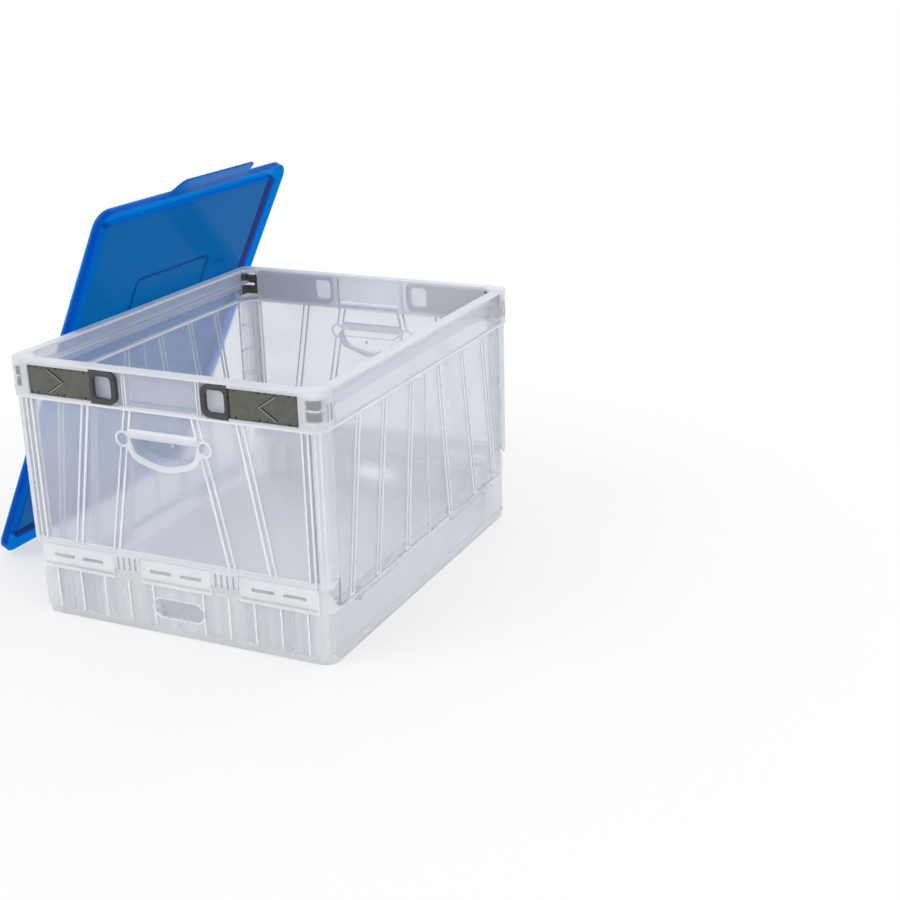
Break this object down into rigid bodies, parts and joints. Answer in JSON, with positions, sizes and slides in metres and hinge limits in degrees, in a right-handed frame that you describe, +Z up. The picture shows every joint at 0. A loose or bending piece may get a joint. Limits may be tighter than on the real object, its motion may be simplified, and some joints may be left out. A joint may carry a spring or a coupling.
{
  "type": "folding storage crate",
  "caption": "Folding crate for hanging files, clear walls on a low tray, sliding finger latches, file-hook ledges and a lift-off lid that leans on the rim.",
  "frame": {"origin": "middle of the crate's underside", "axes": "+Z up, +X across the crate away from the leaning lid, +Y along the crate to its back end wall"},
  "size_m": [0.5267, 0.467, 0.4303],
  "materials": {
    "frosted_clear": "frosted, see-through polypropylene",
    "dark_latch": "satin black",
    "blue_lid": "glossy, see-through blue"
  },
  "bodies": {
    "crate": {"base_tray": "frosted_clear", "end_wall_front": "frosted_clear", "end_wall_back": "frosted_clear"},
    "left_wall": {"side_wall_left": "frosted_clear"},
    "right_wall": {"side_wall_right": "frosted_clear"},
    "front_left_latch": {"latch_front_left": "dark_latch"},
    "front_right_latch": {"latch_front_right": "dark_latch"},
    "back_left_latch": {"latch_back_left": "dark_latch"},
    "back_right_latch": {"latch_back_right": "dark_latch"},
    "lid": {"lid": "blue_lid"},
    "top_flap": {"lid_flap_top": "blue_lid"},
    "bottom_flap": {"lid_flap_bottom": "blue_lid"}
  },
  "joints": [
    {"name": "left_wall_fold", "type": "hinge", "parent": "crate", "child": "left_wall", "pos_m": [-0.17, 0, 0.028], "axis": [0, 1, 0], "range_deg": [0, 90]},
    {"name": "right_wall_fold", "type": "hinge", "parent": "crate", "child": "right_wall", "pos_m": [0.17, 0, 0.05], "axis": [0, -1, 0], "range_deg": [0, 90]},
    {"name": "front_left_squeeze", "type": "slide", "parent": "crate", "child": "front_left_latch", "axis": [1, 0, 0], "range_m": [0, 0.012], "stiffness_N_per_m": 400, "springref_m": -0.003},
    {"name": "front_right_squeeze", "type": "slide", "parent": "crate", "child": "front_right_latch", "axis": [-1, 0, 0], "range_m": [0, 0.012], "stiffness_N_per_m": 400, "springref_m": -0.003},
    {"name": "back_left_squeeze", "type": "slide", "parent": "crate", "child": "back_left_latch", "axis": [1, 0, 0], "range_m": [0, 0.012], "stiffness_N_per_m": 400, "springref_m": -0.003},
    {"name": "back_right_squeeze", "type": "slide", "parent": "crate", "child": "back_right_latch", "axis": [-1, 0, 0], "range_m": [0, 0.012], "stiffness_N_per_m": 400, "springref_m": -0.003},
    {"name": "lid_lift", "type": "slide", "parent": "crate", "child": "lid", "axis": [0, 0, 1], "range_m": [0, 0.45]},
    {"name": "top_flap_turn", "type": "hinge", "parent": "lid", "child": "top_flap", "pos_m": [-0.12009, 0.06, 0.41062], "axis": [0, 1, 0], "range_deg": [-85, 65]},
    {"name": "bottom_flap_turn", "type": "hinge", "parent": "lid", "child": "bottom_flap", "pos_m": [-0.31468, 0.06, 0.00265], "axis": [0, -1, 0], "range_deg": [0, 154]}
  ]
}
